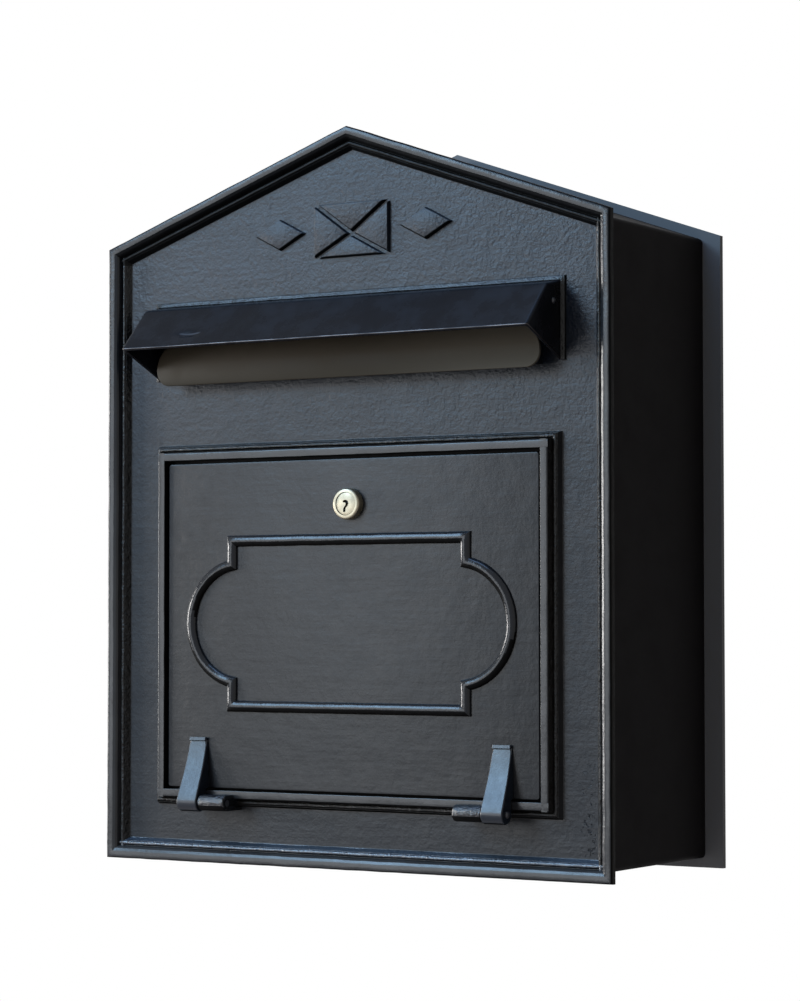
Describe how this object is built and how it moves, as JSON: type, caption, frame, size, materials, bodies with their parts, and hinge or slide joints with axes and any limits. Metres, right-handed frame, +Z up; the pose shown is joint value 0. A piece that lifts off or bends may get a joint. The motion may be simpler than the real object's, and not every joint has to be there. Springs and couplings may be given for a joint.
{
  "type": "wall mounted post box",
  "caption": "Gabled cast front on a folded sheet box, with a hooded letter slot, a hanging flap and a bottom hinged, locking collection door.",
  "frame": {"origin": "on the wall, at the back face of the back panel, midway between the four fixing holes", "axes": "+X to the right as one faces the box, +Y into the wall, +Z up"},
  "size_m": [0.3618, 0.1628, 0.4355],
  "materials": {
    "cast_front": "satin black paint over a sand cast skin",
    "cast_arm": "satin black paint on a smoother casting",
    "box_sheet": "smooth satin black paint",
    "hood_sheet": "smooth satin black paint",
    "flap_plate": "smooth satin grey paint",
    "pin_steel": "satin black paint on steel rod",
    "zinc": "dull zinc plate",
    "lock_nickel": "bright nickel plate"
  },
  "bodies": {
    "box": {"front_casting": "cast_front", "box_body": "box_sheet", "back_panel": "box_sheet", "hood": "hood_sheet", "hood_screws": "zinc", "hood_nuts": "zinc", "bracket_lower_left": "zinc", "bracket_lower_right": "zinc", "bracket_upper_left": "zinc", "bracket_upper_right": "zinc", "bracket_screws": "zinc", "hinge_pin_left": "pin_steel", "hinge_pin_right": "pin_steel", "flap_rod": "pin_steel"},
    "door": {"door_panel": "cast_front", "hinge_arm_left": "cast_arm", "hinge_arm_right": "cast_arm", "arm_screws": "zinc", "lock_housing": "lock_nickel", "lock_nut": "lock_nickel"},
    "lock": {"lock_plug": "lock_nickel", "lock_cam": "zinc", "cam_screw": "zinc"},
    "flap": {"letter_flap": "flap_plate"}
  },
  "joints": [
    {"name": "door_hinge", "type": "hinge", "parent": "box", "child": "door", "pos_m": [0, -0.138, -0.1635], "axis": [1, 0, 0], "range_deg": [0, 180]},
    {"name": "flap_hinge", "type": "hinge", "parent": "box", "child": "flap", "pos_m": [0, -0.1334, 0.1238], "axis": [-1, 0, 0], "range_deg": [0, 50]},
    {"name": "lock_turn", "type": "hinge", "parent": "door", "child": "lock", "pos_m": [0.0023, -0.131, 0.013], "axis": [0, 1, 0], "range_deg": [0, 90]}
  ]
}
